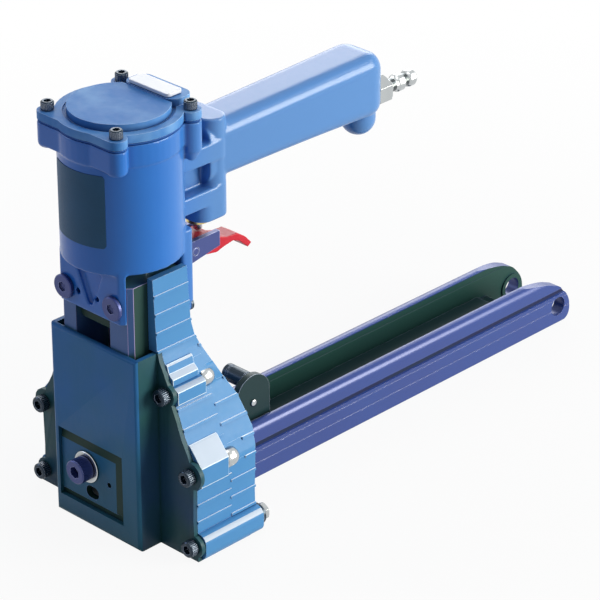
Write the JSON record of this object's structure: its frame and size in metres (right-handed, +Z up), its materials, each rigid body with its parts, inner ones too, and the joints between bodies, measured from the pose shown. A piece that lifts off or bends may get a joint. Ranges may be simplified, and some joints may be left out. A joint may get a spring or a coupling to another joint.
{
  "type": "pneumatic carton closing stapler",
  "caption": "Air-powered carton closing stapler: upright cylinder head with a top cap, side castings and swinging anvils, a long rear handle with trigger, and a long staple magazine.",
  "frame": {"origin": "middle of the bounding box in plan, on the flat base that the tool stands on", "axes": "+Z up along the cylinder axis, +Y towards the rear end of the magazine, -Y to the front cover, +X to the tool's right as seen from its front cover"},
  "size_m": [0.15, 0.4334, 0.2838],
  "materials": {
    "blue_enamel": "glossy blue enamel on die-cast aluminium",
    "red_paint": "glossy red",
    "dark_plate": "dark blued sheet steel, satin",
    "black_oxide": "black oxide",
    "rail_alloy": "blue-violet anodised extrusion, satin",
    "black_alloy": "black anodised, milled",
    "bright_steel": "ground",
    "nickel": "nickel plated",
    "brass": "turned brass",
    "pale_metal": "pale satin plate",
    "cast_aluminium": "machined",
    "rubber": "black elastomer"
  },
  "bodies": {
    "frame": {"body_casting": "blue_enamel", "cylinder_sleeve": "cast_aluminium", "bumper_ring": "rubber", "cap_gasket": "rubber", "top_cap": "blue_enamel", "exhaust_deflector": "pale_metal", "cap_screw_front_left": "black_oxide", "cap_screw_front_right": "black_oxide", "cap_screw_rear_left": "black_oxide", "cap_screw_rear_right": "black_oxide", "neck_bolt_left": "black_oxide", "neck_bolt_right": "black_oxide", "rear_neck_screw_left": "black_oxide", "rear_neck_screw_right": "black_oxide", "guide_block": "black_alloy", "front_cover": "dark_plate", "right_casting": "blue_enamel", "left_casting": "blue_enamel", "flange_screw_upper_left": "black_oxide", "flange_screw_middle_left": "black_oxide", "flange_screw_lower_left": "black_oxide", "flange_screw_upper_right": "black_oxide", "flange_screw_middle_right": "black_oxide", "flange_screw_lower_right": "black_oxide", "base_washer_left": "black_oxide", "base_washer_right": "black_oxide", "base_nut_left": "nickel", "base_nut_right": "nickel", "nose_plate": "black_oxide", "anvil_carrier": "black_oxide", "anvil_pin_left": "bright_steel", "anvil_pin_right": "bright_steel", "adjuster_washer": "nickel", "right_rail": "rail_alloy", "left_rail": "rail_alloy", "staple_track": "black_oxide", "rear_spacer": "black_oxide", "rear_tie_pin": "black_oxide", "trigger_bracket": "blue_enamel", "trigger_pin": "bright_steel", "valve_bush": "brass", "valve_spring": "bright_steel", "air_nipple": "nickel"},
    "drive": {"piston": "cast_aluminium", "piston_ring": "rubber", "driver_blade": "bright_steel", "blade_pin": "bright_steel", "drive_yoke": "bright_steel"},
    "right_claw": {"right_anvil": "bright_steel"},
    "left_claw": {"left_anvil": "bright_steel"},
    "depth_stop": {"depth_plate": "dark_plate"},
    "depth_screw": {"adjusting_screw": "black_oxide"},
    "feeder": {"pusher": "black_oxide", "thumb_bar": "bright_steel", "cheek_pin": "nickel", "feed_spring_roll": "bright_steel"},
    "trigger_lever": {"trigger": "red_paint"},
    "valve": {"valve_stem": "bright_steel"}
  },
  "joints": [
    {"name": "drive_stroke", "type": "slide", "parent": "frame", "child": "drive", "axis": [0, 0, -1], "range_m": [0, 0.056]},
    {"name": "right_anvil_swing", "type": "hinge", "parent": "frame", "child": "right_claw", "pos_m": [0.016, -0.1826, 0.034], "axis": [0, 1, 0], "range_deg": [0, 60]},
    {"name": "left_anvil_swing", "type": "hinge", "parent": "frame", "child": "left_claw", "pos_m": [-0.016, -0.1826, 0.034], "axis": [0, -1, 0], "range_deg": [0, 60]},
    {"name": "depth_stop_slide", "type": "slide", "parent": "frame", "child": "depth_stop", "axis": [0, 0, 1], "range_m": [-0.003, 0.003]},
    {"name": "depth_screw_turn", "type": "hinge", "parent": "frame", "child": "depth_screw", "pos_m": [-0.0106, -0.20975, 0.0405], "axis": [0, 1, 0], "range_deg": [-180, 180]},
    {"name": "pusher_slide", "type": "slide", "parent": "frame", "child": "feeder", "axis": [0, 1, 0], "range_m": [0, 0.236], "stiffness_N_per_m": 12, "springref_m": -0.5},
    {"name": "trigger_pull", "type": "hinge", "parent": "frame", "child": "trigger_lever", "pos_m": [0, -0.12925, 0.1699], "axis": [1, 0, 0], "range_deg": [0, 14], "stiffness_Nm_per_rad": 0.4, "springref_deg": -17.19},
    {"name": "valve_stem_lift", "type": "slide", "parent": "frame", "child": "valve", "axis": [0, 0, 1], "range_m": [0, 0.0033], "deforming": ["valve_spring"]}
  ],
  "couplings": [
    {"joint": "right_anvil_swing", "follows": "drive_stroke", "rad_per_m": 18.6},
    {"joint": "left_anvil_swing", "follows": "drive_stroke", "rad_per_m": 18.6},
    {"joint": "valve_stem_lift", "follows": "trigger_pull", "m_per_rad": 0.013}
  ]
}
